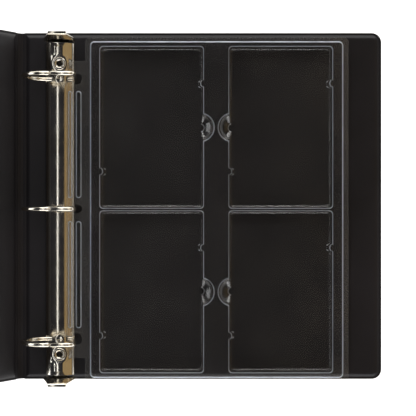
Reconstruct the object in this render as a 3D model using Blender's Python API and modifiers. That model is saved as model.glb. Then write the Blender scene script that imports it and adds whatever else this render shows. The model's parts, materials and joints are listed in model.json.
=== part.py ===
"""Coin album: a black vinyl D-ring album, open, with one clear four-bay page on its rings.

Frame: +X from the front cover to the back cover, +Y towards the top of the page, +Z up.
The table is z = 0 and the origin is under the middle of the open album.
Inside the script the back cover's middle is x = y = 0, and the empty named album moves
everything to the origin above.
"""
import math

import bmesh
import bpy
from mathutils import Matrix

MM = 0.001
GAP = 0.3 * MM                      # kept between neighbouring pieces

# Covers and spine: a board between two vinyl skins
COVER_WIDTH = 299.4 * MM
COVER_HEIGHT = 290.0 * MM
SPINE_WIDTH = 56.0 * MM
PANEL = 4.0 * MM                    # whole thickness of a panel
SKIN = 0.5 * MM
RIM = 1.2 * MM                      # welded rim outside the board
CORNER = 8.0 * MM                   # free corners
HINGE_HALF = 3.5 * MM               # hinge axis to the edge of a panel
WEB_HALF = 3.0 * MM
WEB_THICKNESS = 0.8 * MM
SPINE_TILT = math.radians(54.0)     # spine above the table at rest

# Ring mechanism, riveted to the back cover
PLATE_X = -118.9 * MM
MECHANISM_Y = -2.5 * MM
PLATE_HALF_WIDTH = 12.3 * MM
PLATE_HALF_LENGTH = 138.0 * MM
PLATE_RISE = 6.7 * MM
PLATE_THICKNESS = 0.9 * MM
RING_PITCH = 108.0 * MM
WIRE_RADIUS = 1.75 * MM
RING_FOOT_Z = 8.0 * MM
RING_BOW = 20.5 * MM                # radius of the round side of the D
RING_SEAM_X = -121.5 * MM
POST_FOOT_X = -106.0 * MM
POST_TOP_X = -103.0 * MM
POST_TOP_BEND = 5.0 * MM
POST_FOOT_BEND = 2.5 * MM
RING_START = 6.0 * MM               # wire ends, measured from the plate's middle
SLOT_START = 5.4 * MM
SLOT_WIDTH = 4.5 * MM
BLADE_PIVOT = 10.6 * MM             # pivot lines, measured from the plate's middle
BLADE_Z = 5.5 * MM
BLADE_THICKNESS = 0.9 * MM
BLADE_HALF_LENGTH = 134.0 * MM
KNUCKLE_HALF_GAP = 0.4 * MM
RIVET_Y = 120.7 * MM
EYELET_RADIUS = 5.4 * MM
EYELET_BORE = 2.4 * MM
EYELET_BARREL = 3.0 * MM
RIVET_RADIUS = 1.9 * MM
RIVET_HEAD = 5.0 * MM
RIVET_HEAD_THICKNESS = 0.9 * MM
LEVER_PIVOT_Y = 138.6 * MM
LEVER_PIVOT_Z = 6.2 * MM
LEVER_THICKNESS = 1.2 * MM
LEVER_HALF_WIDTH = 13.0 * MM
LEVER_TIP_HALF_WIDTH = 6.2 * MM
LEVER_FOOT_HALF_WIDTH = 6.5 * MM

# Clear formed page
PAGE_Y = -3.0 * MM
PAGE_LEFT, PAGE_RIGHT = -98.0 * MM, 121.0 * MM
PAGE_HALF_HEIGHT = 142.8 * MM
TAB_LEFT = -112.5 * MM
CREASE_HALF_GAP = 0.5 * MM          # the sheet bends here, between the punched strip and the bays
TAB_HALF_HEIGHT = 123.0 * MM
FLANGE_Z = 10.6 * MM                # underside of the flange
SHEET = 0.8 * MM
PLATEAU_RISE = 0.9 * MM
PLATEAU_LEFT, PLATEAU_RIGHT = -93.0 * MM, 116.2 * MM
PLATEAU_HALF_HEIGHT = 139.2 * MM
BAY_CENTRES_X = (-42.3 * MM, 64.8 * MM)
BAY_CENTRE_Y = 68.2 * MM            # above and below the page's middle
BAY_HALF_WIDTH = 43.2 * MM
BAY_HALF_HEIGHT = 67.3 * MM
BAY_DRAFT = 1.6 * MM                # the walls lean in this far at the floor
BAY_CORNER = 3.0 * MM
NUB_REACH = 2.4 * MM                # snap nubs that hold a slab
NUB_HALF_WIDTH = 3.0 * MM
NUB_OFFSET = 36.5 * MM              # from the bay's middle
SCOOP_RADIUS = 11.7 * MM
SCOOP_INSET = 2.9 * MM              # centre of a thumb scoop inside the bay's wall
SCOOP_DRAFT = 3.0 * MM
HOLE_X = -104.2 * MM
HOLE_HALF_WIDTH = 4.3 * MM
HOLE_HALF_HEIGHTS = (5.0 * MM, 3.9 * MM, 5.0 * MM)
RIB_RISE = 0.8 * MM
RIBS_X = ((-109.9 * MM, 1.7 * MM), (-102.9 * MM, 2.4 * MM))   # middle and half width
RIB_HALF_LENGTH = 44.5 * MM
RIB_CENTRE_Y = 54.0 * MM

VINYL_OUTER = (0.012, 0.011, 0.014)
VINYL_INNER = (0.020, 0.018, 0.023)
BOARD_GREY = (0.32, 0.28, 0.22)
NICKEL = (0.80, 0.76, 0.68)
STEEL = (0.62, 0.60, 0.57)
CLEAR = (0.80, 0.84, 0.86)


# ---------------------------------------------------------------- scene set-up

for old in list(bpy.data.objects):
    bpy.data.objects.remove(old, do_unlink=True)

album_collection = bpy.data.collections.new("coin_album")
cutter_collection = bpy.data.collections.new("cutters")
bpy.context.scene.collection.children.link(album_collection)
bpy.context.scene.collection.children.link(cutter_collection)


def material(name, colour, roughness, metallic=0.0, alpha=1.0):
    """A Principled material of one colour."""
    made = bpy.data.materials.new(name)
    made.use_nodes = True
    shader = made.node_tree.nodes["Principled BSDF"]
    shader.inputs["Base Color"].default_value = (*colour, 1.0)
    shader.inputs["Roughness"].default_value = roughness
    shader.inputs["Metallic"].default_value = metallic
    shader.inputs["Alpha"].default_value = alpha
    return made


def pivot(name, location, angle=0.0, parent=None):
    """An empty that carries the pieces of one moving body; angle turns it about +Y."""
    empty = bpy.data.objects.new(name, None)
    album_collection.objects.link(empty)
    empty.parent = parent
    empty.location = location
    empty.rotation_euler = (0.0, angle, 0.0)
    return empty


def place(obj, parent, finish):
    """Hang a finished piece under its pivot and give it its own material."""
    obj.parent = parent
    obj.data.materials.clear()
    obj.data.materials.append(material(obj.name + "_finish", *finish))
    return obj


# ---------------------------------------------------------------- outlines

def arc(centre, radius, start, end, steps):
    """Points along a circle; the angles are in degrees."""
    points = []
    for step in range(steps + 1):
        angle = math.radians(start + (end - start) * step / steps)
        points.append((centre[0] + radius * math.cos(angle), centre[1] + radius * math.sin(angle)))
    return points


def rounded_rectangle(x0, x1, y0, y1, radii, steps=5):
    """Corner radii in the order right top, left top, left bottom, right bottom."""
    corners = ((x1, y1, -1, -1, 0), (x0, y1, 1, -1, 90), (x0, y0, 1, 1, 180), (x1, y0, -1, 1, 270))
    points = []
    for (x, y, to_x, to_y, start), radius in zip(corners, radii):
        points += arc((x + to_x * radius, y + to_y * radius), radius, start, start + 90, steps)
    return points


def oval(centre, half_width, half_height, steps=24):
    return [(centre[0] + half_width * math.cos(math.tau * i / steps),
             centre[1] + half_height * math.sin(math.tau * i / steps)) for i in range(steps)]


def strip_outline(line, thickness):
    """The outline of a strip of even thickness along a bent line."""
    sides = ([], [])
    for index, (u, v) in enumerate(line):
        before = line[max(index - 1, 0)]
        after = line[min(index + 1, len(line) - 1)]
        length = math.hypot(after[0] - before[0], after[1] - before[1])
        normal = (-(after[1] - before[1]) / length, (after[0] - before[0]) / length)
        for side, sign in zip(sides, (0.5, -0.5)):
            side.append((u + sign * thickness * normal[0], v + sign * thickness * normal[1]))
    return sides[1] + sides[0][::-1]


# ---------------------------------------------------------------- solids

def prism(name, outline, low, high, along="Z"):
    """A flat outline made solid along Z (outline in X, Y), Y (in X, Z) or X (in Y, Z)."""
    curve = bpy.data.curves.new(name, "CURVE")
    curve.dimensions = "2D"
    curve.fill_mode = "BOTH"
    curve.extrude = (high - low) / 2
    spline = curve.splines.new("POLY")
    spline.points.add(len(outline) - 1)
    for point, (u, v) in zip(spline.points, outline):
        point.co = (u, v, 0.0, 1.0)
    spline.use_cyclic_u = True
    holder = bpy.data.objects.new(name + "_outline", curve)
    bpy.context.scene.collection.objects.link(holder)
    evaluated = holder.evaluated_get(bpy.context.evaluated_depsgraph_get())
    mesh = bpy.data.meshes.new_from_object(evaluated)
    bpy.data.objects.remove(holder, do_unlink=True)
    welded = bmesh.new()
    welded.from_mesh(mesh)
    bmesh.ops.remove_doubles(welded, verts=welded.verts, dist=1e-6)
    welded.to_mesh(mesh)
    welded.free()
    middle = (low + high) / 2
    if along == "Y":
        turn = Matrix.Rotation(math.pi / 2, 4, "X") @ Matrix.Translation((0, 0, -middle))
    elif along == "X":
        turn = Matrix(((0, 0, 1, 0), (1, 0, 0, 0), (0, 1, 0, 0), (0, 0, 0, 1)))
        turn = turn @ Matrix.Translation((0, 0, middle))
    else:
        turn = Matrix.Translation((0, 0, middle))
    mesh.transform(turn)
    mesh.name = name
    piece = bpy.data.objects.new(name, mesh)
    album_collection.objects.link(piece)
    return piece


def taper(piece, centre, amount, floor):
    """Draw the vertices at height floor in towards centre, by amount along X and Y."""
    lowest = [vertex for vertex in piece.data.vertices if abs(vertex.co.z - floor) < 1e-6]
    half_x = max(abs(vertex.co.x - centre[0]) for vertex in lowest)
    half_y = max(abs(vertex.co.y - centre[1]) for vertex in lowest)
    for vertex in lowest:
        vertex.co.x = centre[0] + (vertex.co.x - centre[0]) * (1 - amount / half_x)
        vertex.co.y = centre[1] + (vertex.co.y - centre[1]) * (1 - amount / half_y)
    return piece


def combine(piece, tool, operation):
    """Cut or join with a helper solid, which moves to the cutters."""
    album_collection.objects.unlink(tool)
    cutter_collection.objects.link(tool)
    tool.hide_render = True
    tool.display_type = "WIRE"
    tool.parent = piece.parent
    step = piece.modifiers.new(tool.name, "BOOLEAN")
    step.operation = operation
    step.solver = "EXACT"
    step.object = tool


def wire(name, line, y):
    """A round wire along a line of X, Z points."""
    curve = bpy.data.curves.new(name, "CURVE")
    curve.dimensions = "3D"
    curve.bevel_depth = WIRE_RADIUS
    curve.bevel_resolution = 4
    curve.use_fill_caps = True
    spline = curve.splines.new("POLY")
    spline.points.add(len(line) - 1)
    for point, (x, z) in zip(spline.points, line):
        point.co = (x, y, z, 1.0)
    piece = bpy.data.objects.new(name, curve)
    album_collection.objects.link(piece)
    return piece


def turned(name, profile, location, closed):
    """A turned piece from a profile of radius, height points, outer side running down."""
    mesh = bpy.data.meshes.new(name)
    edges = [(i, i + 1) for i in range(len(profile) - 1)]
    if closed:
        edges.append((len(profile) - 1, 0))
    mesh.from_pydata([(r, 0.0, z) for r, z in profile], edges, [])
    piece = bpy.data.objects.new(name, mesh)
    album_collection.objects.link(piece)
    piece.location = location
    screw = piece.modifiers.new("turn", "SCREW")
    screw.steps = 24
    screw.render_steps = 24
    screw.use_merge_vertices = True
    screw.merge_threshold = 0.00001
    return piece


# ---------------------------------------------------------------- covers and spine

def panel(prefix, direction, width, corner, carrier, rivets=()):
    """Outer skin, board and inner liner, running from the hinge axis along direction * X."""
    half = COVER_HEIGHT / 2
    radii = (corner, 1 * MM, 1 * MM, corner) if direction > 0 else (1 * MM, corner, corner, 1 * MM)

    def outline(inset):
        ends = sorted((direction * (HINGE_HALF + inset), direction * (HINGE_HALF + width - inset)))
        shrunk = [max(radius - inset, 0.5 * MM) for radius in radii]
        return rounded_rectangle(*ends, -half + inset, half - inset, shrunk)

    rim_top = PANEL / 2 - SKIN - GAP
    skin = prism(prefix + "_outer_skin", outline(0), -PANEL / 2, rim_top)
    pocket = prism(prefix + "_board_pocket", outline(RIM), -PANEL / 2 + SKIN, rim_top + 1 * MM)
    place(skin, carrier, (VINYL_OUTER, 0.42))
    combine(skin, pocket, "DIFFERENCE")

    board = prism(prefix + "_board", outline(RIM + GAP), -PANEL / 2 + SKIN + GAP, rim_top)
    place(board, carrier, (BOARD_GREY, 0.9))
    liner = prism(prefix + "_inner_liner", outline(0), PANEL / 2 - SKIN, PANEL / 2)
    place(liner, carrier, (VINYL_INNER, 0.38))

    head_top = -PANEL / 2 + SKIN + 2 * GAP + RIVET_HEAD_THICKNESS
    for number, centre in enumerate(rivets):
        shank = oval(centre, RIVET_RADIUS + GAP, RIVET_RADIUS + GAP)
        head = oval(centre, RIVET_HEAD + GAP, RIVET_HEAD + GAP)
        for piece in (board, liner):
            hole = prism(f"{piece.name}_rivet_hole_{number}", shank, -PANEL, PANEL)
            combine(piece, hole, "DIFFERENCE")
        recess = prism(f"{prefix}_rivet_recess_{number}", head, -PANEL, head_top)
        combine(board, recess, "DIFFERENCE")


def hinge_web(name, carrier, fold):
    """The welded vinyl strip on a hinge axis, turned half way through the fold."""
    half = COVER_HEIGHT / 2
    web = prism(name, rounded_rectangle(-WEB_HALF, WEB_HALF, -half, half, [0.5 * MM] * 4, 2),
                -WEB_THICKNESS / 2, WEB_THICKNESS / 2)
    web.rotation_euler = (0.0, fold, 0.0)
    place(web, carrier, (VINYL_INNER, 0.42))
    return web


def covers(album):
    """Back cover flat on the table, spine tilted up, front cover sloping down to the table."""
    hinge_x = -COVER_WIDTH / 2 - HINGE_HALF
    back = pivot("back_cover", (hinge_x, 0.0, PANEL / 2), 0.0, album)
    rivets = [(PLATE_X - hinge_x, MECHANISM_Y + side * RIVET_Y) for side in (1, -1)]
    panel("back", 1, COVER_WIDTH, CORNER, back, rivets)
    hinge_web("back_hinge_web", back, SPINE_TILT / 2)

    spine = pivot("spine", (hinge_x, 0.0, PANEL / 2), SPINE_TILT, album)
    panel("spine", -1, SPINE_WIDTH, 1 * MM, spine)

    span = SPINE_WIDTH + 2 * HINGE_HALF
    slope = front_slope()
    front = pivot("front_cover", (-span, 0.0, 0.0), -SPINE_TILT - slope, spine)
    panel("front", -1, COVER_WIDTH, CORNER, front)
    web = hinge_web("front_hinge_web", spine, -(SPINE_TILT + slope) / 2)
    web.location = (-span, 0.0, 0.0)


def front_slope():
    """Slope that brings the front cover's free edge down to the table."""
    reach = HINGE_HALF + COVER_WIDTH
    height = PANEL / 2 + (SPINE_WIDTH + 2 * HINGE_HALF) * math.sin(SPINE_TILT)
    return math.asin(height / math.hypot(reach, PANEL / 2)) - math.atan2(PANEL / 2, reach)


# ---------------------------------------------------------------- ring mechanism

def arch(half_width, rise, steps=18):
    """Half an ellipse over the plate's middle, from its left foot to its right foot."""
    foot = PANEL + GAP
    return [(PLATE_X + half_width * math.cos(math.pi * (1 - i / steps)),
             foot + rise * math.sin(math.pi * i / steps)) for i in range(steps + 1)]


def ring_y(index):
    return MECHANISM_Y + (1 - index) * RING_PITCH


def top_plate(album):
    """Arched nickel plate with six ring slots and two rivet holes."""
    inner = arch(PLATE_HALF_WIDTH - PLATE_THICKNESS, PLATE_RISE - PLATE_THICKNESS)
    outline = arch(PLATE_HALF_WIDTH, PLATE_RISE) + inner[::-1]
    low, high = MECHANISM_Y - PLATE_HALF_LENGTH, MECHANISM_Y + PLATE_HALF_LENGTH
    plate = prism("ring_top_plate", outline, low, high, "Y")
    place(plate, album, (NICKEL, 0.16, 1.0))
    top = PANEL + GAP + PLATE_RISE
    for index in range(3):
        y = ring_y(index)
        for side in (-1, 1):
            ends = sorted((PLATE_X + side * SLOT_START, PLATE_X + side * (PLATE_HALF_WIDTH + 1 * MM)))
            slot = rounded_rectangle(*ends, y - SLOT_WIDTH / 2, y + SLOT_WIDTH / 2, [0.6 * MM] * 4, 2)
            combine(plate, prism(f"ring_slot_{index}_{side}", slot, BLADE_Z, top + 1 * MM), "DIFFERENCE")
    for side in (-1, 1):
        centre = (PLATE_X, MECHANISM_Y + side * RIVET_Y)
        hole = oval(centre, EYELET_BARREL + GAP, EYELET_BARREL + GAP)
        combine(plate, prism(f"eyelet_hole_{side}", hole, 0, top + 1 * MM), "DIFFERENCE")


def eyelets_and_rivets(album):
    """Flanged eyelets on the plate, and the rivets that hold it to the board."""
    under = PANEL + GAP + PLATE_RISE + GAP
    edge = 0.4 * MM
    flange = 0.9 * MM
    eyelet_profile = [
        (EYELET_BORE, under + flange), (EYELET_RADIUS - edge, under + flange),
        (EYELET_RADIUS, under + flange - edge), (EYELET_RADIUS, under),
        (EYELET_BARREL, under), (EYELET_BARREL, PANEL + GAP), (EYELET_BORE, PANEL + GAP)]
    head_low = SKIN + GAP
    head_high = head_low + RIVET_HEAD_THICKNESS
    rivet_top = under - 2 * MM
    rivet_profile = [(0, rivet_top), (RIVET_RADIUS - edge, rivet_top), (RIVET_RADIUS, rivet_top - edge),
                     (RIVET_RADIUS, head_high), (RIVET_HEAD, head_high), (RIVET_HEAD, head_low), (0, head_low)]
    for word, side in (("upper", 1), ("lower", -1)):
        spot = (PLATE_X, MECHANISM_Y + side * RIVET_Y, 0.0)
        place(turned(word + "_eyelet", eyelet_profile, spot, True), album, (NICKEL, 0.2, 1.0))
        place(turned(word + "_rivet_post", rivet_profile, spot, False), album, (STEEL, 0.35, 1.0))


def half_ring_lines():
    """Middle lines of the two halves of the D, in X and Z."""
    top_z = RING_FOOT_Z + 2 * RING_BOW
    bow_x = PLATE_X - RING_START - 0.4 * MM
    left = [(PLATE_X - RING_START, RING_FOOT_Z)]
    left += arc((bow_x, RING_FOOT_Z + RING_BOW), RING_BOW, 270, 90, 22)
    left.append((RING_SEAM_X - GAP / 2, top_z))
    right = [(RING_SEAM_X + GAP / 2, top_z)]
    right += arc((POST_TOP_X - POST_TOP_BEND, top_z - POST_TOP_BEND), POST_TOP_BEND, 90, 0, 6)
    foot_centre = (POST_FOOT_X - POST_FOOT_BEND, RING_FOOT_Z + POST_FOOT_BEND)
    right += arc(foot_centre, POST_FOOT_BEND, 0, -90, 5)
    right.append((PLATE_X + RING_START, RING_FOOT_Z))
    return left, right


def blades_and_rings(album):
    """Two blades under the plate, each carrying three half rings."""
    for word, side, line in zip(("left", "right"), (-1, 1), half_ring_lines()):
        axis_x = PLATE_X + side * BLADE_PIVOT
        carrier = pivot(word + "_blade", (axis_x, 0.0, BLADE_Z), 0.0, album)
        ends = sorted((0.0, -side * (BLADE_PIVOT - KNUCKLE_HALF_GAP)))
        outline = rounded_rectangle(*ends, MECHANISM_Y - BLADE_HALF_LENGTH, MECHANISM_Y + BLADE_HALF_LENGTH,
                                    [1.5 * MM] * 4, 3)
        blade = prism(word + "_hinge_blade", outline, -BLADE_THICKNESS / 2, BLADE_THICKNESS / 2)
        place(blade, carrier, (STEEL, 0.35, 1.0))
        notch_radius = EYELET_BARREL + 1 * MM
        for rivet_side in (-1, 1):
            middle = (-side * BLADE_PIVOT, MECHANISM_Y + rivet_side * RIVET_Y)
            notch = prism(f"{word}_blade_notch_{rivet_side}", oval(middle, notch_radius, notch_radius),
                          -BLADE_THICKNESS, BLADE_THICKNESS)
            combine(blade, notch, "DIFFERENCE")
        local = [(x - axis_x, z - BLADE_Z) for x, z in line]
        for index, level in enumerate(("upper", "middle", "lower")):
            ring = wire(f"{level}_{word}_half_ring", local, ring_y(index))
            place(ring, carrier, (NICKEL, 0.14, 1.0))


def levers(album):
    """Bent trigger plates at both ends; outward is +Y on the upper one."""
    line = [(-3.4 * MM, 0.0), (0.2 * MM, 0.0)]
    line += arc((0.2 * MM, 1.2 * MM), 1.2 * MM, -70, -10, 4)
    line += [(4.1 * MM, 19.5 * MM)]
    line += arc((6.6 * MM, 19.1 * MM), 2.5 * MM, 165, 95, 5)
    top = 24 * MM
    wide = LEVER_HALF_WIDTH + 1 * MM
    for word, side in (("upper", 1), ("lower", -1)):
        lever = prism(word + "_lever", strip_outline(line, LEVER_THICKNESS),
                      -LEVER_HALF_WIDTH, LEVER_HALF_WIDTH, "X")
        carrier = pivot(word + "_lever_pivot",
                        (PLATE_X, MECHANISM_Y + side * LEVER_PIVOT_Y, LEVER_PIVOT_Z), 0.0, album)
        carrier.rotation_euler = (0.0, 0.0, 0.0 if side > 0 else math.pi)
        place(lever, carrier, (NICKEL, 0.1, 1.0))
        for hand in (-1, 1):
            wedge = [(hand * LEVER_HALF_WIDTH, 7 * MM), (hand * wide, 7 * MM), (hand * wide, top),
                     (hand * LEVER_TIP_HALF_WIDTH, top)]
            combine(lever, prism(f"{word}_lever_taper_{hand}", wedge, -2 * MM, 12 * MM, "Y"), "DIFFERENCE")
            ends = sorted((hand * LEVER_FOOT_HALF_WIDTH, hand * wide))
            foot = rounded_rectangle(*ends, -5 * MM, 0.3 * MM, [0.5 * MM] * 4, 2)
            combine(lever, prism(f"{word}_lever_foot_{hand}", foot, -3 * MM, 3 * MM), "DIFFERENCE")


# ---------------------------------------------------------------- page

def bay_outline(centre, grow):
    """A bay's outline with its two snap nubs, one low on the left wall, one high on the right."""
    x0, x1 = centre[0] - BAY_HALF_WIDTH - grow, centre[0] + BAY_HALF_WIDTH + grow
    y0, y1 = centre[1] - BAY_HALF_HEIGHT - grow, centre[1] + BAY_HALF_HEIGHT + grow
    reach, half = NUB_REACH, NUB_HALF_WIDTH
    corner = BAY_CORNER + grow
    points = arc((x1 - corner, y1 - corner), corner, 0, 90, 4)
    points += arc((x0 + corner, y1 - corner), corner, 90, 180, 4)
    low_nub = centre[1] - NUB_OFFSET
    points += [(x0 + reach * math.sin(math.pi * i / 6), low_nub + half * math.cos(math.pi * i / 6))
               for i in range(7)]
    points += arc((x0 + corner, y0 + corner), corner, 180, 270, 4)
    points += arc((x1 - corner, y0 + corner), corner, 270, 360, 4)
    high_nub = centre[1] + NUB_OFFSET
    points += [(x1 - reach * math.sin(math.pi * i / 6), high_nub - half * math.cos(math.pi * i / 6))
               for i in range(7)]
    return points


def binding_strip(album):
    """The punched strip of the sheet, with its stiffening ribs; it slides up the ring posts."""
    carrier = pivot("page_binding", (PAGE_LEFT, PAGE_Y, FLANGE_Z), 0.0, album)

    def local(points):
        return [(x - PAGE_LEFT, y) for x, y in points]

    outline = rounded_rectangle(TAB_LEFT, PAGE_LEFT - CREASE_HALF_GAP, -TAB_HALF_HEIGHT, TAB_HALF_HEIGHT,
                                (0.5 * MM, 3 * MM, 3 * MM, 0.5 * MM))
    strip = prism("page_binding_strip", local(outline), 0, SHEET)
    place(strip, carrier, (CLEAR, 0.08, 0.0, 0.35))
    for x, half in RIBS_X:
        for side in (-1, 1):
            rib = rounded_rectangle(x - half, x + half, side * RIB_CENTRE_Y - RIB_HALF_LENGTH,
                                    side * RIB_CENTRE_Y + RIB_HALF_LENGTH, [0.95 * half] * 4, 4)
            solid = prism(f"binding_rib_{x * 1000:.0f}_{side}", local(rib), SHEET / 2, SHEET + RIB_RISE)
            combine(strip, solid, "UNION")
    for index, half in enumerate(HOLE_HALF_HEIGHTS):
        centre = (HOLE_X - PAGE_LEFT, ring_y(index) - PAGE_Y)
        hole = prism(f"page_hole_{index}", oval(centre, HOLE_HALF_WIDTH, half), -1 * MM, 3 * MM)
        combine(strip, hole, "DIFFERENCE")


def page(album):
    """The rest of the sheet: flange, raised plateau, four bays with thumb scoops."""
    hinge_z = FLANGE_Z
    carrier = pivot("page", (PAGE_LEFT, PAGE_Y, hinge_z), 0.0, album)

    def local(points):
        return [(x - PAGE_LEFT, y) for x, y in points]

    top = SHEET + PLATEAU_RISE
    floor = PANEL + GAP - hinge_z
    flange = rounded_rectangle(PAGE_LEFT + CREASE_HALF_GAP, PAGE_RIGHT, -PAGE_HALF_HEIGHT, PAGE_HALF_HEIGHT,
                               [4 * MM] * 4)
    sheet = prism("card_page", local(flange), 0, SHEET)
    place(sheet, carrier, (CLEAR, 0.08, 0.0, 0.35))
    plateau = rounded_rectangle(PLATEAU_LEFT, PLATEAU_RIGHT, -PLATEAU_HALF_HEIGHT, PLATEAU_HALF_HEIGHT,
                                [3 * MM] * 4)
    combine(sheet, prism("page_plateau", local(plateau), 0.4 * MM, top), "UNION")

    spots = []
    for column, x in enumerate(BAY_CENTRES_X):
        for side in (1, -1):
            inward = 1 if column == 0 else -1
            bay = (x - PAGE_LEFT, side * BAY_CENTRE_Y)
            scoop = (bay[0] + inward * (BAY_HALF_WIDTH - SCOOP_INSET), bay[1])
            spots.append((f"{column}_{side}", bay, scoop))
    for tag, bay, scoop in spots:
        body = prism("bay_body_" + tag, bay_outline(bay, 0.0), floor, 0.4 * MM)
        combine(sheet, taper(body, bay, BAY_DRAFT, floor), "UNION")
        bowl = prism("scoop_body_" + tag, oval(scoop, SCOOP_RADIUS, SCOOP_RADIUS), floor, 0.4 * MM)
        combine(sheet, taper(bowl, scoop, SCOOP_DRAFT, floor), "UNION")
    for tag, bay, scoop in spots:
        hollow = prism("bay_hollow_" + tag, bay_outline(bay, -SHEET), floor + SHEET, top + 1 * MM)
        combine(sheet, taper(hollow, bay, BAY_DRAFT, floor + SHEET), "DIFFERENCE")
        inner = SCOOP_RADIUS - SHEET
        bowl = prism("scoop_hollow_" + tag, oval(scoop, inner, inner), floor + SHEET, top + 1 * MM)
        combine(sheet, taper(bowl, scoop, SCOOP_DRAFT, floor + SHEET), "DIFFERENCE")


# ---------------------------------------------------------------- build

def origin_shift():
    """Moves the album so that the origin is under the middle of its box."""
    slope = front_slope()
    span = SPINE_WIDTH + 2 * HINGE_HALF
    hinge_x = -COVER_WIDTH / 2 - HINGE_HALF
    left = (hinge_x - span * math.cos(SPINE_TILT) - (HINGE_HALF + COVER_WIDTH) * math.cos(slope)
            - PANEL / 2 * math.sin(slope))
    right = COVER_WIDTH / 2
    low = PAGE_Y - PAGE_HALF_HEIGHT
    high = COVER_HEIGHT / 2
    return (-(left + right) / 2, -(low + high) / 2, 0.0)


def main():
    album = pivot("album", origin_shift())
    covers(album)
    top_plate(album)
    eyelets_and_rivets(album)
    blades_and_rings(album)
    levers(album)
    binding_strip(album)
    page(album)


main()
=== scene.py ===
"""The looks of the open coin album: vinyl covers, nickel ring mechanism and clear formed page."""
import json
import math

import bmesh
import bpy
from mathutils import Matrix, Vector


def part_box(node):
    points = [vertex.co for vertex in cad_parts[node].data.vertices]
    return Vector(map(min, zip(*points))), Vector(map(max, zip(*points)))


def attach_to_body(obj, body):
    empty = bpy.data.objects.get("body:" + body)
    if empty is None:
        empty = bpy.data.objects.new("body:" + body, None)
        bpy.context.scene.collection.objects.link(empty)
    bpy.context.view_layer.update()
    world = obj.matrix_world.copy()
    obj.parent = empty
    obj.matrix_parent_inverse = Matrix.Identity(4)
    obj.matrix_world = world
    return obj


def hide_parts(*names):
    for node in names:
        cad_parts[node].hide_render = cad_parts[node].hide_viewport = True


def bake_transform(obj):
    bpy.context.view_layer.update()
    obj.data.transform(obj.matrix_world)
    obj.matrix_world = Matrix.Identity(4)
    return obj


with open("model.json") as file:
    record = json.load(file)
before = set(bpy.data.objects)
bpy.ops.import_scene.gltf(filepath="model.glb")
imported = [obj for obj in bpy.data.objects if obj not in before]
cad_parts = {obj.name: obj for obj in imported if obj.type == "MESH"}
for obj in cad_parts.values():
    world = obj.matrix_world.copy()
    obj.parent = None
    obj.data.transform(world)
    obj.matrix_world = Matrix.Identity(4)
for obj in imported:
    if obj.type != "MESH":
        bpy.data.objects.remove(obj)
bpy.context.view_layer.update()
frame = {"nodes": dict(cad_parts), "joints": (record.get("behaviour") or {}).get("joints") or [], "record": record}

MM = 0.001
JOINTS = {joint["name"]: joint for joint in frame["joints"]}
OPENINGS = {opening["name"]: opening["box_m"] for opening in frame["record"]["physics"]["openings"]}

# Panels: thickness, hinge axis to a panel's edge
PANEL = 4.0 * MM
HINGE_HALF = 3.5 * MM
CORNER = 8.0 * MM
SMALL_CORNER = 1.2 * MM

# Ring mechanism
PLATE_FOOT = 4.3 * MM
PLATE_RISE = 6.7 * MM
PLATE_HALF_WIDTH = 12.3 * MM
PLATE_THICKNESS = 0.9 * MM
PAD_RADIUS = 10.0 * MM             # raised pad under an eyelet
PAD_SLOPE = 4.2 * MM
TONGUE_Y = 131.5 * MM
TONGUE_HALF_WIDTH = 4.4 * MM
TONGUE_HALF_LENGTH = 4.6 * MM
TONGUE_RISE = 0.55 * MM
DIMPLE_RADIUS = 2.6 * MM
DIMPLE_DEPTH = 0.35 * MM
SLOT_START = 5.4 * MM
SLOT_HALF_WIDTH = 2.25 * MM
WIRE_RADIUS = 1.75 * MM
RING_BOW = 20.5 * MM
RING_START = 6.0 * MM
RING_SEAM = 2.6 * MM               # seam, left of the plate's middle
POST_FOOT = 12.9 * MM              # post, right of the plate's middle
POST_TOP = 15.9 * MM
POST_TOP_BEND = 5.0 * MM
POST_FOOT_BEND = 2.5 * MM
WIRE_FOOT = 8.0 * MM               # height of the wire's middle at the plate
RIVET_Y = 120.7 * MM
RIVET_HOLE_RADIUS = 3.3 * MM
EYELET_BORE = 2.45 * MM
EYELET_BARREL = 3.0 * MM
EYELET_RADIUS = 5.3 * MM
LEVER_HALF_WIDTH = 13.0 * MM
LEVER_TIP_HALF_WIDTH = 6.2 * MM
LEVER_FOOT_HALF_WIDTH = 6.5 * MM
LEVER_THICKNESS = 1.2 * MM
LEVER_FOOT_START = -3.4 * MM       # lengths of a lever's section, outwards from its pivot
LEVER_BEND = 1.2 * MM
LEVER_FOOT_TOP = 0.35 * MM         # heights over the pivot, where its width changes
LEVER_SHOULDER = 7.0 * MM
LEVER_TAPER = 17.0 * MM
LEVER_LIP = 1.6 * MM
LEVER_DISH = 0.5 * MM

# Clear page
SHEET = 0.6 * MM
FLANGE_RISE = 0.7 * MM             # top of the flange above its underside
FLANGE_CORNER = 4.0 * MM
STRIP_CORNER = 3.0 * MM
PLATEAU_LEFT = 3.9 * MM            # flange left round the plateau
PLATEAU_RIGHT = 4.2 * MM
PLATEAU_END = 3.0 * MM
BAY_CORNER = 3.0 * MM
BAY_HALF_WIDTH = 43.0 * MM
BAY_HALF_HEIGHT = 67.1 * MM
NUB_REACH = 2.4 * MM
NUB_HALF_WIDTH = 3.0 * MM
NUB_OFFSET = 36.5 * MM
SCOOP_RADIUS = 11.7 * MM
SCOOP_INSET = 2.9 * MM
CREASE_HALF = 1.5 * MM
HOLE_CENTRE = 8.3 * MM             # hole's middle, from the strip's free edge
HOLE_HALF_WIDTH = 4.2 * MM
HOLE_HALF_HEIGHTS = (4.9 * MM, 3.8 * MM, 4.9 * MM)
RIBS = ((2.6 * MM, 1.7 * MM), (9.6 * MM, 2.4 * MM))    # middle from the free edge, half width
RIB_CENTRE_Y = 54.0 * MM
RIB_HALF_LENGTH = 44.5 * MM
RIB_RISE = 0.8 * MM
STEEP = 0.97                       # a face whose normal rises less than this gets the painted highlight
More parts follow.
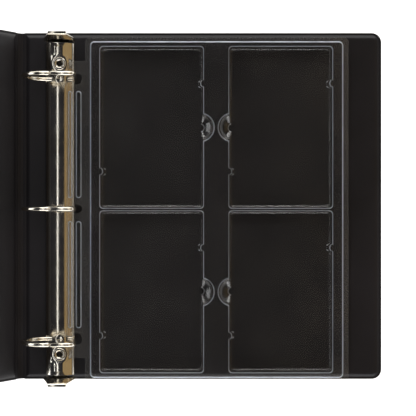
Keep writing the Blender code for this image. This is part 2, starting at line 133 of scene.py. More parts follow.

# Camera
CAMERA_HEIGHT = 0.903              # above the liner
CAMERA_LENS = 93.4
CAMERA_X = 4.45 * MM               # from the middle of the back cover
CAMERA_Y = -1.7 * MM

# Lights: place from the middle of the back cover, size, power and colour
LIGHTS = (
    ("top_softbox", (0.2, 2.4, 1.3), (3.2, 1.8), 62, (1.0, 0.99, 0.98)),
    ("front_softbox", (0.2, -2.4, 1.1), (3.2, 1.6), 44, (0.98, 0.98, 1.0)),
    ("left_fill", (-2.6, 0.2, 0.9), (3.0, 1.2), 26, (0.96, 0.98, 1.0)),
    ("warm_card", (1.15, 0.0, 1.45), (2.6, 1.9), 5.2, (1.0, 0.70, 0.31)),
    ("crown_strip", (-0.65, 0.0, 1.9), (2.8, 0.15), 2.6, (1.0, 1.0, 1.0)),
)

# Surroundings: white up to one height of the view direction, dark from another upwards
WHITE_BELOW = 0.12
DARK_ABOVE = 0.30
SURROUNDINGS_STRENGTH = 0.8
FLOOR_SIZE = 60.0
FLOOR_Z = -0.5 * MM


# ---------------------------------------------------------------- materials

class Shader:
    """A Principled material and short calls for the nodes that feed it."""

    def __init__(self, name, colour, roughness, metallic=0.0, specular=0.5):
        self.material = bpy.data.materials.new(name)
        self.material.use_nodes = True
        self.tree = self.material.node_tree
        self.shader = self.tree.nodes["Principled BSDF"]
        self.set("Base Color", (*colour, 1.0))
        self.set("Roughness", roughness)
        self.set("Metallic", metallic)
        self.set("Specular IOR Level", specular)
        self.coordinates = self.tree.nodes.new("ShaderNodeTexCoord").outputs["Object"]

    def set(self, socket, value):
        self.shader.inputs[socket].default_value = value

    def noise(self, scale, detail=4.0, roughness=0.5, stretch=(1, 1, 1)):
        mapping = self.tree.nodes.new("ShaderNodeMapping")
        mapping.inputs["Scale"].default_value = stretch
        self.tree.links.new(self.coordinates, mapping.inputs["Vector"])
        node = self.tree.nodes.new("ShaderNodeTexNoise")
        node.inputs["Scale"].default_value = scale
        node.inputs["Detail"].default_value = detail
        node.inputs["Roughness"].default_value = roughness
        self.tree.links.new(mapping.outputs["Vector"], node.inputs["Vector"])
        return node.outputs["Fac"]

    def cells(self, scale):
        node = self.tree.nodes.new("ShaderNodeTexVoronoi")
        node.inputs["Scale"].default_value = scale
        self.tree.links.new(self.coordinates, node.inputs["Vector"])
        return node.outputs["Distance"]

    def spread(self, source, low, high):
        """Map a noise value to a range."""
        node = self.tree.nodes.new("ShaderNodeMapRange")
        node.inputs["From Min"].default_value = 0.3
        node.inputs["From Max"].default_value = 0.7
        node.inputs["To Min"].default_value = low
        node.inputs["To Max"].default_value = high
        self.tree.links.new(source, node.inputs["Value"])
        return node.outputs["Result"]

    def ramp(self, source, dark, light):
        node = self.tree.nodes.new("ShaderNodeValToRGB")
        node.color_ramp.elements[0].position = 0.35
        node.color_ramp.elements[1].position = 0.65
        node.color_ramp.elements[0].color = (*dark, 1.0)
        node.color_ramp.elements[1].color = (*light, 1.0)
        self.tree.links.new(source, node.inputs["Fac"])
        return node.outputs["Color"]

    def bump(self, source, strength, distance, below=None):
        node = self.tree.nodes.new("ShaderNodeBump")
        node.inputs["Strength"].default_value = strength
        node.inputs["Distance"].default_value = distance
        self.tree.links.new(source, node.inputs["Height"])
        if below is not None:
            self.tree.links.new(below, node.inputs["Normal"])
        return node.outputs["Normal"]

    def feed(self, socket, source):
        self.tree.links.new(source, self.shader.inputs[socket])


def vinyl(name, dark, light, grain):
    """Satin vinyl: a fine pressed grain over slow waves, with a patchy sheen."""
    look = Shader(name, dark, 0.33, 0.0, 0.22)
    look.feed("Base Color", look.ramp(look.noise(9), dark, light))
    look.feed("Roughness", look.spread(look.noise(35, 6), 0.31, 0.36))
    waves = look.bump(look.noise(14, 2), 0.12, 1.2 * MM)
    pores = look.bump(look.cells(1400), grain, 0.12 * MM, waves)
    look.feed("Normal", look.bump(look.noise(2600, 2), grain * 0.6, 0.06 * MM, pores))
    return look.material


def nickel():
    """Polished nickel plate with faint drawing lines and handling haze."""
    look = Shader("nickel", (0.68, 0.63, 0.54), 0.14, 1.0)
    look.feed("Base Color", look.ramp(look.noise(40), (0.64, 0.59, 0.49), (0.73, 0.69, 0.61)))
    look.feed("Roughness", look.spread(look.noise(120, 6), 0.09, 0.2))
    look.feed("Normal", look.bump(look.noise(300, 4, 0.6, (6, 0.2, 6)), 0.06, 0.05 * MM))
    return look.material


def zinc():
    """Dull zinc plate on the hidden steel parts."""
    look = Shader("zinc_steel", (0.60, 0.59, 0.56), 0.36, 1.0)
    look.feed("Base Color", look.ramp(look.cells(260), (0.52, 0.51, 0.49), (0.66, 0.65, 0.62)))
    look.feed("Roughness", look.spread(look.noise(90, 5), 0.28, 0.45))
    return look.material


def oxide():
    """Dark oxide on the rivets, seen down the eyelets."""
    look = Shader("dark_oxide", (0.02, 0.018, 0.016), 0.5, 0.6)
    look.feed("Base Color", look.ramp(look.noise(900, 5), (0.012, 0.011, 0.010), (0.035, 0.03, 0.026)))
    look.feed("Roughness", look.spread(look.noise(300), 0.42, 0.6))
    return look.material


def clear_plastic(name, transmission):
    """Clear formed sheet: gloss with drawn, slightly hazy patches."""
    look = Shader(name, (0.97, 0.95, 0.92), 0.08)
    look.set("Transmission Weight", transmission)
    look.set("IOR", 1.46)
    look.feed("Roughness", look.spread(look.noise(22, 5), 0.05, 0.16))
    waves = look.bump(look.noise(24, 2), 0.03, 1.0 * MM)
    look.feed("Normal", look.bump(look.noise(90, 3), 0.02, 0.3 * MM, waves))
    return look.material


def painted_highlight_edge():
    """Painted highlight on the sheet's bends: a lighter, bluish, less clear sheet where the bends catch light."""
    look = Shader("painted_highlight_sheet_edge", (0.80, 0.86, 0.97), 0.3, 0.0, 0.6)
    look.set("IOR", 1.46)
    look.feed("Transmission Weight", look.spread(look.noise(40, 2), 0.88, 0.80))
    look.feed("Roughness", look.spread(look.noise(120, 3), 0.28, 0.36))
    return look.material


def chipboard():
    """Grey pressed board with flecks."""
    look = Shader("chipboard", (0.33, 0.29, 0.24), 0.92)
    look.feed("Base Color", look.ramp(look.noise(420, 8, 0.7), (0.24, 0.21, 0.17), (0.42, 0.38, 0.32)))
    look.feed("Normal", look.bump(look.noise(600, 6), 0.4, 0.2 * MM))
    return look.material


OUTER_VINYL = vinyl("outer_vinyl", (0.008, 0.008, 0.009), (0.015, 0.0145, 0.016), 0.55)
INNER_VINYL = vinyl("inner_vinyl", (0.009, 0.0085, 0.0095), (0.017, 0.0155, 0.0175), 0.35)
NICKEL = nickel()
ZINC = zinc()
OXIDE = oxide()
CLEAR = clear_plastic("clear_sheet", 0.993)
FLANGE_SHEET = clear_plastic("clear_sheet_flange", 0.981)
# painted highlight: a lighter, bluish, less clear sheet for the bright lines along the page's bends
PAINTED_HIGHLIGHT_EDGE = painted_highlight_edge()
CHIPBOARD = chipboard()


# ---------------------------------------------------------------- mesh helpers

def arc(centre, radius, start, end, steps):
    """Points along a circle; the angles are in degrees."""
    return [(centre[0] + radius * math.cos(math.radians(start + (end - start) * i / steps)),
             centre[1] + radius * math.sin(math.radians(start + (end - start) * i / steps)))
            for i in range(steps + 1)]


def rounded_rectangle(x0, x1, y0, y1, radii, steps=8):
    """Corner radii in the order right top, left top, left bottom, right bottom."""
    corners = ((x1, y1, -1, -1, 0), (x0, y1, 1, -1, 90), (x0, y0, 1, 1, 180), (x1, y0, -1, 1, 270))
    points = []
    for (x, y, to_x, to_y, start), radius in zip(corners, radii):
        points += arc((x + to_x * radius, y + to_y * radius), radius, start, start + 90, steps)
    return points


def oval(centre, half_width, half_height, steps=40):
    return [(centre[0] + half_width * math.cos(math.tau * i / steps),
             centre[1] + half_height * math.sin(math.tau * i / steps)) for i in range(steps)]


class Builder:
    """Collects loops, the faces between them and flat fills in one mesh."""

    def __init__(self):
        self.mesh = bmesh.new()

    def loop(self, points, z=None):
        if z is not None:
            points = [(x, y, z) for x, y in points]
        return [self.mesh.verts.new(point) for point in points]

    def bridge(self, first, second, closed=True):
        count = len(first) if closed else len(first) - 1
        for i in range(count):
            j = (i + 1) % len(first)
            self.mesh.faces.new((first[i], first[j], second[j], second[i])).smooth = True

    def bridges(self, loops, closed=True):
        for first, second in zip(loops, loops[1:]):
            self.bridge(first, second, closed)

    def cap(self, loop):
        self.mesh.faces.new(loop)

    def fill(self, *loops):
        """A flat face inside the first loop and outside the others."""
        edges = []
        for loop in loops:
            for i, start in enumerate(loop):
                end = loop[(i + 1) % len(loop)]
                edges.append(self.mesh.edges.get((start, end)) or self.mesh.edges.new((start, end)))
        made = bmesh.ops.triangle_fill(self.mesh, use_beauty=True, use_dissolve=False, edges=edges)
        for face in made["geom"]:
            if isinstance(face, bmesh.types.BMFace):
                face.smooth = False

    def finish(self, name, finish, closed=True, angle=40.0):
        bmesh.ops.remove_doubles(self.mesh, verts=self.mesh.verts, dist=0.000002)
        bmesh.ops.recalc_face_normals(self.mesh, faces=self.mesh.faces)
        if not closed and sum(face.normal.z * face.calc_area() for face in self.mesh.faces) < 0:
            bmesh.ops.reverse_faces(self.mesh, faces=self.mesh.faces)
        data = bpy.data.meshes.new(name)
        self.mesh.to_mesh(data)
        self.mesh.free()
        rounded = [face.use_smooth for face in data.polygons]
        data.set_sharp_from_angle(angle=math.radians(angle))
        data.polygons.foreach_set("use_smooth", rounded)
        piece = bpy.data.objects.new(name, data)
        bpy.context.scene.collection.objects.link(piece)
        data.materials.append(finish)
        return piece


def loft(name, loops, finish, capped=True, angle=40.0):
    """A closed form through loops of equal length."""
    builder = Builder()
    rows = [builder.loop(points) for points in loops]
    builder.bridges(rows)
    if capped:
        builder.cap(rows[0][::-1])
        builder.cap(rows[-1])
    else:
        builder.bridge(rows[-1], rows[0])
    return builder.finish(name, finish, True, angle)


def apply_modifiers(piece):
    """Turn the evaluated shape into the piece's own mesh."""
    evaluated = piece.evaluated_get(bpy.context.evaluated_depsgraph_get())
    made = bpy.data.meshes.new_from_object(evaluated)
    piece.modifiers.clear()
    piece.data = made


def attach(piece, body, slot, *nodes):
    """Ride on a body and stand for CAD nodes; the slot is not used."""
    if body:
        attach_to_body(piece, body)
    if nodes:
        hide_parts(*nodes)
    return piece


# ---------------------------------------------------------------- covers and spine

# Half of the section of a panel, from its welded rim inwards: inset and height
RIM_PROFILE = ((0.0, 0.0), (0.05, 0.25), (0.25, 0.45), (0.7, 0.55), (1.3, 0.55), (1.6, 0.38), (1.9, 0.38),
               (2.2, 0.55), (2.9, 1.05), (3.6, 1.5), (4.5, 1.82), (5.6, 1.96), (7.0, 2.0), (16.0, 2.0))


def panel_loop(direction, width, height, corner, inset):
    """A panel's outline in its hinge's frame, drawn in by inset."""
    ends = sorted((direction * (HINGE_HALF + inset), direction * (HINGE_HALF + width - inset)))
    radii = (corner, SMALL_CORNER, SMALL_CORNER, corner)
    if direction < 0:
        radii = (SMALL_CORNER, corner, corner, SMALL_CORNER)
    shrunk = [max(radius - inset, 0.4 * MM) for radius in radii]
    return rounded_rectangle(*ends, -height / 2 + inset, height / 2 - inset, shrunk)


def panel_case(name, direction, width, height, corner, turn, body, nodes, finishes):
    """The vinyl round one board: flat welded rim, stitch-like weld groove, padded rise to the board."""
    profile = [(inset * MM, -z * MM) for inset, z in RIM_PROFILE[:0:-1]]
    profile += [(inset * MM, z * MM) for inset, z in RIM_PROFILE]
    loops = []
    for inset, z in profile:
        outline = panel_loop(direction, width, height, corner, inset)
        loops.append([turn @ Vector((x, y, z)) for x, y in outline])
    case = loft(name, loops, finishes[0], True, 60)
    case.data.materials.append(finishes[1])
    up = (turn.to_3x3() @ Vector((0, 0, 1))).normalized()
    for face in case.data.polygons:
        if face.normal.dot(up) > 0.05:
            face.material_index = 1
    attach(case, body, "inner_vinyl", *nodes)
    return case


def panel_board(name, direction, width, height, turn, body, node):
    """The chipboard inside a case."""
    loops = []
    for inset, z in ((4.9, -1.1), (4.6, -0.9), (4.6, 0.9), (4.9, 1.1)):
        outline = panel_loop(direction, width, height, CORNER, inset * MM)
        loops.append([turn @ Vector((x, y, z * MM)) for x, y in outline])
    return attach(loft(name, loops, CHIPBOARD), body, "board", node)


def hinge_strip(name, pivot, first_angle, second_angle, height, node):
    """Thin welded vinyl between two panels, with ribs and four shallow grooves along the fold."""
    first = Vector((math.cos(first_angle), 0, math.sin(first_angle)))
    second = Vector((math.cos(second_angle), 0, math.sin(second_angle)))
    start, end = pivot + first * HINGE_HALF, pivot + second * HINGE_HALF
    steps = 20
    line = [start + first * 1.1 * MM]
    for i in range(steps + 1):
        t = i / steps
        line.append(start * (1 - t) ** 2 + pivot * 2 * t * (1 - t) + end * t * t)
    line.append(end + second * 1.1 * MM)
    builder = Builder()
    rows = []
    half_height = height / 2 - 0.4 * MM
    for y_share in [-1 + i / 12 for i in range(25)]:
        upper, lower = [], []
        for i, point in enumerate(line):
            after, before = line[min(i + 1, len(line) - 1)], line[max(i - 1, 0)]
            along = (after - before).normalized()
            normal = Vector((0, 1, 0)).cross(along)
            t = (i - 1) / steps
            half = 0.42 * MM + 0.14 * MM * math.cos(4 * math.tau * t) if 0 <= t <= 1 else 0.3 * MM
            middle = Vector((point.x, pivot.y + y_share * half_height, point.z))
            upper.append(middle + normal * half)
            lower.append(middle - normal * half)
        rows.append([builder.mesh.verts.new(point) for point in upper + lower[::-1]])
    builder.bridges(rows)
    builder.cap(rows[0][::-1])
    builder.cap(rows[-1])
    strip = builder.finish(name, INNER_VINYL, True, 50)
    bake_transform(strip)
    return attach(strip, None, "inner_vinyl", node)


def covers():
    """Three cased boards and the two hinge strips, placed from the fold joints."""
    low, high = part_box("back_inner_liner")
    width, height = high.x - low.x, high.y - low.y
    middle_y = (low.y + high.y) / 2
    spine_pivot = Vector(JOINTS["spine_fold"]["pos_m"])
    front_pivot = Vector(JOINTS["front_fold"]["pos_m"])
    spine_pivot.y = front_pivot.y = middle_y
    tilt = math.atan2(front_pivot.z - spine_pivot.z, spine_pivot.x - front_pivot.x)
    spine_width = (front_pivot - spine_pivot).length - 2 * HINGE_HALF
    reach = HINGE_HALF + width
    slope = math.asin(front_pivot.z / math.hypot(reach, PANEL / 2)) - math.atan2(PANEL / 2, reach)

    def turn(pivot, angle):
        return Matrix.Translation(pivot) @ Matrix.Rotation(angle, 4, "Y")

    both = (OUTER_VINYL, INNER_VINYL)
    flat, up, down = turn(spine_pivot, 0), turn(spine_pivot, tilt), turn(front_pivot, -slope)
    panel_case("back_case", 1, width, height, CORNER, flat, "back_cover",
               ("back_outer_skin", "back_inner_liner"), both)
    panel_board("back_chipboard", 1, width, height, flat, "back_cover", "back_board")
    panel_case("spine_case", -1, spine_width, height, SMALL_CORNER, up, "spine",
               ("spine_outer_skin", "spine_inner_liner"), both)
    panel_board("spine_chipboard", -1, spine_width, height, up, "spine", "spine_board")
    panel_case("front_case", -1, width, height, CORNER, down, "front_cover",
               ("front_outer_skin", "front_inner_liner"), both)
    panel_board("front_chipboard", -1, width, height, down, "front_cover", "front_board")
    hinge_strip("back_hinge_strip", spine_pivot, 0.0, math.pi - tilt, height,
                "back_hinge_web")
    hinge_strip("front_hinge_strip", front_pivot, -tilt, math.pi + slope, height,
                "front_hinge_web")


# ---------------------------------------------------------------- ring mechanism

plate_low, plate_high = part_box("ring_top_plate")
PLATE_X = (plate_low.x + plate_high.x) / 2
MECHANISM_Y = (plate_low.y + plate_high.y) / 2
RING_Y = [(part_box(f"{level}_left_half_ring")[0].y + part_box(f"{level}_left_half_ring")[1].y) / 2
          for level in ("upper", "middle", "lower")]


def smooth(value):
    value = min(max(value, 0.0), 1.0)
    return value * value * (3 - 2 * value)


def plate_relief(dx, y, z):
    """Raised pads under the eyelets, end tongues, and dimples between the ring slots."""
    for side in (-1, 1):
        reach = math.hypot(dx, y - MECHANISM_Y - side * RIVET_Y)
        pad = smooth((PAD_RADIUS - reach) / PAD_SLOPE)
        z += (PLATE_FOOT + PLATE_RISE + 0.15 * MM - z) * pad
        along = abs(y - MECHANISM_Y - side * TONGUE_Y)
        edge = 0.8 * MM
        tongue = smooth((TONGUE_HALF_LENGTH - along) / edge) * smooth((TONGUE_HALF_WIDTH - abs(dx)) / edge)
        z += TONGUE_RISE * tongue
    for ring in RING_Y:
        z -= DIMPLE_DEPTH * smooth((DIMPLE_RADIUS - math.hypot(dx, y - ring)) / (1.4 * MM))
    return z


def top_plate():
    """The arched plate with its slots and rivet holes."""
    across, along = 44, 300
    builder = Builder()
    rows = []
    for j in range(along + 1):
        y = plate_low.y + (plate_high.y - plate_low.y) * j / along
        row = []
        for i in range(across + 1):
            angle = math.pi * i / across
            dx = -PLATE_HALF_WIDTH * math.cos(angle)
            z = PLATE_FOOT + PLATE_RISE * math.sin(angle)
            row.append(builder.mesh.verts.new((PLATE_X + dx, y, plate_relief(dx, y, z))))
        rows.append(row)
    builder.bridges(rows, closed=False)
    plate = builder.finish("ring_plate", NICKEL, False, 35)
    shell = plate.modifiers.new("thickness", "SOLIDIFY")
    shell.thickness = PLATE_THICKNESS
    shell.offset = -1
    apply_modifiers(plate)
    cutters = []
    for ring in RING_Y:
        for side in (-1, 1):
            ends = sorted((PLATE_X + side * SLOT_START, PLATE_X + side * (PLATE_HALF_WIDTH + 1 * MM)))
            slot = rounded_rectangle(*ends, ring - SLOT_HALF_WIDTH, ring + SLOT_HALF_WIDTH, [1 * MM] * 4, 5)
            cutters.append([[(x, y, z) for x, y in slot] for z in (5.6 * MM, 14 * MM)])
    for side in (-1, 1):
        hole = oval((PLATE_X, MECHANISM_Y + side * RIVET_Y), RIVET_HOLE_RADIUS, RIVET_HOLE_RADIUS, 32)
        cutters.append([[(x, y, z) for x, y in hole] for z in (2 * MM, 14 * MM)])
    tools = [loft(f"plate_cutter_{i}", loops, NICKEL) for i, loops in enumerate(cutters)]
    for tool in tools:
        cut = plate.modifiers.new(tool.name, "BOOLEAN")
        cut.object = tool
        cut.operation = "DIFFERENCE"
    apply_modifiers(plate)
    for tool in tools:
        bpy.data.objects.remove(tool)
    plate.data.set_sharp_from_angle(angle=math.radians(35))
    attach(plate, "back_cover", "nickel", "ring_top_plate")


def lathe(name, profile, centre, finish, steps=48):
    """A closed profile of radius and height points turned round Z."""
    loops = []
    for i in range(steps):
        angle = math.tau * i / steps
        loops.append([(centre[0] + radius * math.cos(angle), centre[1] + radius * math.sin(angle), z)
                      for radius, z in profile])
    return loft(name, loops, finish, capped=False, angle=50)


def eyelets():
    """Rolled eyelets, with a lip that curls down into the bore."""
    lip = PLATE_FOOT + PLATE_RISE + 0.1 * MM
    profile = [(r * MM, lip + z * MM) for r, z in arc((3.9, 0.25), 0.75, 180, 90, 4)]
    profile += [(r * MM, lip + z * MM) for r, z in arc((4.7, 0.3), 0.7, 90, 0, 5)]
    profile += [(EYELET_RADIUS, lip + 0.05 * MM), (EYELET_BARREL, lip), (EYELET_BARREL, PLATE_FOOT),
                (EYELET_BORE, PLATE_FOOT), (EYELET_BORE, lip - 0.4 * MM),
                (EYELET_BORE + 0.25 * MM, lip + 0.1 * MM)]
    for word, side in (("upper", 1), ("lower", -1)):
        eyelet = lathe(word + "_rolled_eyelet", profile, (PLATE_X, MECHANISM_Y + side * RIVET_Y), NICKEL)
        attach(eyelet, "back_cover", "nickel", word + "_eyelet")


def tube(name, line, radius, finish, sides=20):
    """A round wire with softly rounded ends along a line in X and Z."""
    points = [Vector(point) for point in line]
    loops = []
    lead = (points[0] - points[1]).normalized()
    tail = (points[-1] - points[-2]).normalized()
    stations = [(points[0], 0.55), (points[0] - lead * 0.25 * radius, 0.85)]
    stations += [(point, 1.0) for point in points[1:-1]]
    stations += [(points[-1] - tail * 0.25 * radius, 0.85), (points[-1], 0.55)]
    for i, (point, share) in enumerate(stations):
        after, before = stations[min(i + 1, len(stations) - 1)][0], stations[max(i - 1, 0)][0]
        along = (after - before).normalized()
        side = Vector((0, 1, 0))
        normal = side.cross(along)
        loops.append([point + radius * share * (side * math.cos(math.tau * k / sides)
                                                + normal * math.sin(math.tau * k / sides))
                      for k in range(sides)])
    return loft(name, loops, finish, True, 50)


def rings():
    """Half rings of the D: a round bow on the left, a leaning post on the right."""
    foot = WIRE_FOOT
    top = foot + 2 * RING_BOW
    left = [(PLATE_X - RING_START, foot), (PLATE_X - RING_START - 0.35 * MM, foot)]
    left += arc((PLATE_X - RING_START - 0.4 * MM, foot + RING_BOW), RING_BOW, 269, 91, 44)
    left += [(PLATE_X - RING_SEAM - 0.9 * MM, top), (PLATE_X - RING_SEAM - 0.15 * MM, top)]
    right = [(PLATE_X - RING_SEAM + 0.15 * MM, top), (PLATE_X - RING_SEAM + 0.9 * MM, top)]
    right += arc((PLATE_X + POST_TOP - POST_TOP_BEND, top - POST_TOP_BEND), POST_TOP_BEND, 90, 0, 10)
    right += arc((PLATE_X + POST_FOOT - POST_FOOT_BEND, foot + POST_FOOT_BEND), POST_FOOT_BEND, 0, -90, 8)
    right += [(PLATE_X + RING_START + 0.6 * MM, foot), (PLATE_X + RING_START, foot)]
    for level, y in zip(("upper", "middle", "lower"), RING_Y):
        for word, line in (("left", left), ("right", right)):
            wire = tube(f"{level}_{word}_ring_wire", [(x, y, z) for x, z in line], WIRE_RADIUS, NICKEL)
            attach(wire, word + "_blade", "nickel", f"{level}_{word}_half_ring")


def lever_width(z):
    """Half width of a lever at a height over its pivot."""
    if z < LEVER_FOOT_TOP:
        return LEVER_FOOT_HALF_WIDTH
    if z < LEVER_SHOULDER:
        return LEVER_HALF_WIDTH
    share = min((z - LEVER_SHOULDER) / LEVER_TAPER, 1.0)
    return LEVER_HALF_WIDTH + (LEVER_TIP_HALF_WIDTH - LEVER_HALF_WIDTH) * share


def levers():
    """Bent trigger plates with a curled lip for the thumb."""
    line = [(LEVER_FOOT_START, 0.0), (-1.5 * MM, 0.0), (0.2 * MM, 0.0)]
    line += arc((0.2 * MM, LEVER_BEND), LEVER_BEND, -80, -8, 8)
    line += [((1.4 + 2.7 * i / 10) * MM, (1.2 + 18.3 * i / 10) * MM) for i in range(1, 11)]
    line += arc((5.65 * MM, 19.1 * MM), LEVER_LIP, 165, 70, 12)
    half = LEVER_THICKNESS / 2
    edge = 0.3 * MM
    for word, sign in (("upper", 1), ("lower", -1)):
        pivot = Vector(JOINTS[word + "_lever_swing"]["pos_m"])
        loops = []
        for i, (out, up) in enumerate(line):
            after, before = line[min(i + 1, len(line) - 1)], line[max(i - 1, 0)]
            length = math.hypot(after[0] - before[0], after[1] - before[1])
            normal = (-(after[1] - before[1]) / length, (after[0] - before[0]) / length)
            width = lever_width(up)
            loop = []
            for x, n in rounded_rectangle(-width, width, -half, half, [edge] * 4, 3):
                dish = LEVER_DISH * math.cos(min(abs(x) / width, 1.0) * math.pi / 2)
                if up <= LEVER_SHOULDER:
                    dish = 0.0
                loop.append((pivot.x + x, pivot.y + sign * (out + normal[0] * n + dish),
                             pivot.z + up + normal[1] * n))
            loops.append(loop)
        lever = loft(word + "_trigger", loops, NICKEL, True, 35)
        attach(lever, word + "_lever", "nickel", word + "_lever")


# ---------------------------------------------------------------- clear page

def bay_outline(centre, inward, inset, drawn_in):
    """A bay's outline: nub on each long wall, thumb scoop on the wall that faces the other bays."""
    x0, x1 = centre[0] - BAY_HALF_WIDTH + inset, centre[0] + BAY_HALF_WIDTH - inset
    y0, y1 = centre[1] - BAY_HALF_HEIGHT + inset, centre[1] + BAY_HALF_HEIGHT - inset
    corner = BAY_CORNER
    scoop_x = centre[0] + inward * (BAY_HALF_WIDTH - SCOOP_INSET)
    radius = SCOOP_RADIUS - drawn_in
    wall_x = x1 if inward > 0 else x0
    open_angle = math.degrees(math.acos((wall_x - scoop_x) * inward / radius))
    scoop = arc((0, 0), radius, -open_angle, open_angle, 20)
    bump = [math.pi * i / 10 for i in range(11)]

    def nub(x, y, side):
        return [(x - side * NUB_REACH * math.sin(angle) ** 0.8, y - side * NUB_HALF_WIDTH * math.cos(angle))
                for angle in bump]

    points = arc((x1 - corner, y0 + corner), corner, 270, 360, 6)
    if inward > 0:
        points += [(scoop_x + u, centre[1] + v) for u, v in scoop]
    points += nub(x1, centre[1] + NUB_OFFSET, 1)
    points += arc((x1 - corner, y1 - corner), corner, 0, 90, 6)
    points += arc((x0 + corner, y1 - corner), corner, 90, 180, 6)
    if inward < 0:
        points += [(scoop_x - u, centre[1] - v) for u, v in scoop]
    points += nub(x0, centre[1] - NUB_OFFSET, -1)
    points += arc((x0 + corner, y0 + corner), corner, 180, 270, 6)
    return points


# Section of a bay from its rim to its floor: inset of the walls and share of the depth
BAY_PROFILE = ((-0.35, 0.0), (-0.1, 0.015), (0.08, 0.05), (0.18, 0.12), (0.45, 0.3), (0.75, 0.5), (1.08, 0.7),
               (1.35, 0.84), (1.6, 0.94), (1.9, 0.985), (2.4, 1.0))


def scoop_inset(share):
    """How far a thumb scoop's bowl has drawn in at a share of the depth."""
    return 0.3 * MM * (smooth(share / 0.05) - 1) + 0.72 * SCOOP_RADIUS * share ** 1.7


RAISED_EDGE = ((0.0, 0.0), (0.25, 0.08), (0.5, 0.5), (0.75, 0.9), (1.1, 1.0))


def raised(builder, outline_at, base, rise, cap):
    """A raised area: its outline climbs from base by rise; returns the lowest and highest loops."""
    loops = [builder.loop(outline_at(inset * MM), base + share * rise) for inset, share in RAISED_EDGE]
    builder.bridges(loops)
    if cap:
        builder.cap(loops[-1])
    return loops[0], loops[-1]


def clear_page():
    """One formed sheet: punched strip, crease, flange, plateau and four bays."""
    page_low, page_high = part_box("card_page")
    strip_low, strip_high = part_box("page_binding_strip")
    crease = Vector(JOINTS["page_turn"]["pos_m"])
    top = strip_low.z + FLANGE_RISE
    plateau_top = page_high.z
    floor = page_low.z + SHEET + 0.1 * MM
    middle_y = (page_low.y + page_high.y) / 2
    builder = Builder()

    # punched strip
    left, right = strip_low.x, crease.x - CREASE_HALF
    low, high = strip_low.y, strip_high.y
    outline = [(right, low), (right, high)]
    outline += arc((left + STRIP_CORNER, high - STRIP_CORNER), STRIP_CORNER, 90, 180, 8)
    outline += arc((left + STRIP_CORNER, low + STRIP_CORNER), STRIP_CORNER, 180, 270, 8)
    strip = builder.loop(outline, top)
    holes = []
    for ring, half in zip(RING_Y, HOLE_HALF_HEIGHTS):
        holes.append(builder.loop(oval((left + HOLE_CENTRE, ring), HOLE_HALF_WIDTH, half), top))
    for offset, half in RIBS:
        for side in (-1, 1):
            y = middle_y + side * RIB_CENTRE_Y

            def rib(inset, x=left + offset, half=half, y=y):
                return rounded_rectangle(x - half + inset, x + half - inset, y - RIB_HALF_LENGTH + inset,
                                         y + RIB_HALF_LENGTH - inset, [half - inset - 0.02 * MM] * 4, 6)

            holes.append(raised(builder, rib, top, RIB_RISE, True)[0])
    builder.fill(strip, *holes)

    # crease, in narrow flat bands
    steps = 8
    columns = [crease.x - CREASE_HALF + 2 * CREASE_HALF * i / steps for i in range(steps + 1)]
    lower = [strip[0]] + [builder.mesh.verts.new((x, low, top)) for x in columns[1:]]
    upper = [strip[1]] + [builder.mesh.verts.new((x, high, top)) for x in columns[1:]]
    builder.bridges([lower, upper], closed=False)
    for vertex in lower:
        for face in vertex.link_faces:
            face.smooth = False

    # flange and plateau
    x0, x1, y0, y1 = page_low.x, page_high.x, page_low.y, page_high.y
    bend = FLANGE_CORNER
    outline = builder.loop(arc((x1 - bend, y0 + bend), bend, 270, 360, 8)
                           + arc((x1 - bend, y1 - bend), bend, 0, 90, 8)
                           + arc((x0 + bend, y1 - bend), bend, 90, 180, 8) + [(x0, high)], top)
    outline += [upper[-1], lower[-1]]
    outline += builder.loop([(x0, low)] + arc((x0 + bend, y0 + bend), bend, 180, 270, 8), top)

    def plateau(inset):
        return rounded_rectangle(x0 + PLATEAU_LEFT + inset, x1 - PLATEAU_RIGHT - inset,
                                 y0 + PLATEAU_END + inset, y1 - PLATEAU_END - inset, [bend - inset] * 4)

    foot, rim = raised(builder, plateau, top, plateau_top - top, False)
    builder.fill(outline, foot)

    # bays
    rims = []
    for column, inward in (("left", 1), ("right", -1)):
        for level in ("upper", "lower"):
            box = OPENINGS[f"{level}_{column}_bay"]
            centre = ((box[0][0] + box[1][0]) / 2, (box[0][1] + box[1][1]) / 2)
            loops = [builder.loop(bay_outline(centre, inward, inset * MM, scoop_inset(share)),
                                  plateau_top + (floor - plateau_top) * share)
                     for inset, share in BAY_PROFILE]
            builder.bridges(loops)
            builder.cap(loops[-1])
            rims.append(loops[0])
    builder.fill(rim, *rims)

    page = builder.finish("clear_page", CLEAR, False, 50)
    page.data.materials.append(FLANGE_SHEET)
    page.data.materials.append(PAINTED_HIGHLIGHT_EDGE)
    # painted highlight on the bends at the rims and round the bay floors, hazier sheet at the flange's height
    for face in page.data.polygons:
        depth = plateau_top - face.center.z
        if abs(face.normal.z) < STEEP and (depth < 1.0 * MM or face.center.z < floor + 0.25 * MM):
            face.material_index = 2
        elif abs(face.center.z - top + SHEET / 2) < SHEET:
            face.material_index = 1
    shell = page.modifiers.new("thickness", "SOLIDIFY")
    shell.material_offset_rim = 1
    shell.thickness = SHEET
    shell.offset = -1
    apply_modifiers(page)
    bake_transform(page)
    attach(page, None, "clear_sheet", "page_binding_strip", "card_page")


def hidden_steel():
    """Blades and rivets keep their CAD shape: worn zinc on the blades, dark oxide on the rivets."""
    for node, finish in (("left_hinge_blade", ZINC), ("right_hinge_blade", ZINC),
                         ("upper_rivet_post", OXIDE), ("lower_rivet_post", OXIDE)):
        data = frame["nodes"][node].data
        data.materials.clear()
        data.materials.append(finish)


# ---------------------------------------------------------------- stage

def backdrop():
    """White sweep that glows a little, so that it stays white far from the lights."""
    look = Shader("white_sweep", (0.9, 0.9, 0.9), 0.8)
    look.feed("Roughness", look.spread(look.noise(3), 0.75, 0.85))
    look.set("Emission Color", (1.0, 1.0, 1.0, 1.0))
    look.set("Emission Strength", 0.95)
    return look.material


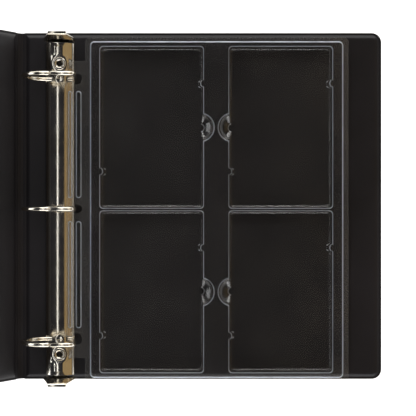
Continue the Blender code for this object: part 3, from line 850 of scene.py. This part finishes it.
def light(name, middle, place, size, energy, colour):
    """A rectangular softbox at a place seen from the middle, turned towards it."""
    data = bpy.data.lights.new(name, "AREA")
    data.shape = "RECTANGLE"
    data.size, data.size_y = size
    data.energy = energy
    data.color = colour
    lamp = bpy.data.objects.new(name, data)
    bpy.context.scene.collection.objects.link(lamp)
    lamp.location = middle + Vector(place)
    lamp.rotation_euler = (-Vector(place)).to_track_quat("-Z", "Y").to_euler()


def surroundings():
    """White at the horizon and dark overhead, so that flat gloss seen from above stays dark."""
    world = bpy.data.worlds.new("studio")
    bpy.context.scene.world = world
    world.use_nodes = True
    tree = world.node_tree
    direction = tree.nodes.new("ShaderNodeTexCoord").outputs["Generated"]
    height = tree.nodes.new("ShaderNodeSeparateXYZ")
    tree.links.new(direction, height.inputs["Vector"])
    ceiling = tree.nodes.new("ShaderNodeValToRGB")
    white, dark = ceiling.color_ramp.elements
    white.position = WHITE_BELOW
    white.color = (1.0, 1.0, 1.0, 1.0)
    dark.position = DARK_ABOVE
    dark.color = (0.03, 0.03, 0.035, 1.0)
    tree.links.new(height.outputs["Z"], ceiling.inputs["Fac"])
    tree.links.new(ceiling.outputs["Color"], tree.nodes["Background"].inputs["Color"])
    tree.nodes["Background"].inputs["Strength"].default_value = SURROUNDINGS_STRENGTH


def stage():
    """Pale floor, soft lights and the camera straight above the back cover."""
    low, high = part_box("back_inner_liner")
    centre = (low + high) / 2
    bpy.ops.mesh.primitive_plane_add(size=FLOOR_SIZE, location=(centre.x, centre.y, FLOOR_Z))
    floor = bpy.context.object
    floor.name = "floor"
    floor.data.materials.append(backdrop())

    for name, place, size, energy, colour in LIGHTS:
        light(name, centre, place, size, energy, colour)
    surroundings()

    camera = bpy.data.cameras.new("camera")
    camera.lens = CAMERA_LENS
    camera.sensor_width = 36.0
    eye = bpy.data.objects.new("camera", camera)
    bpy.context.scene.collection.objects.link(eye)
    eye.location = (centre.x + CAMERA_X, centre.y + CAMERA_Y, high.z + CAMERA_HEIGHT)
    bpy.context.scene.camera = eye
    bpy.context.scene.view_settings.view_transform = "Standard"


covers()
top_plate()
eyelets()
rings()
levers()
clear_page()
hidden_steel()
stage()
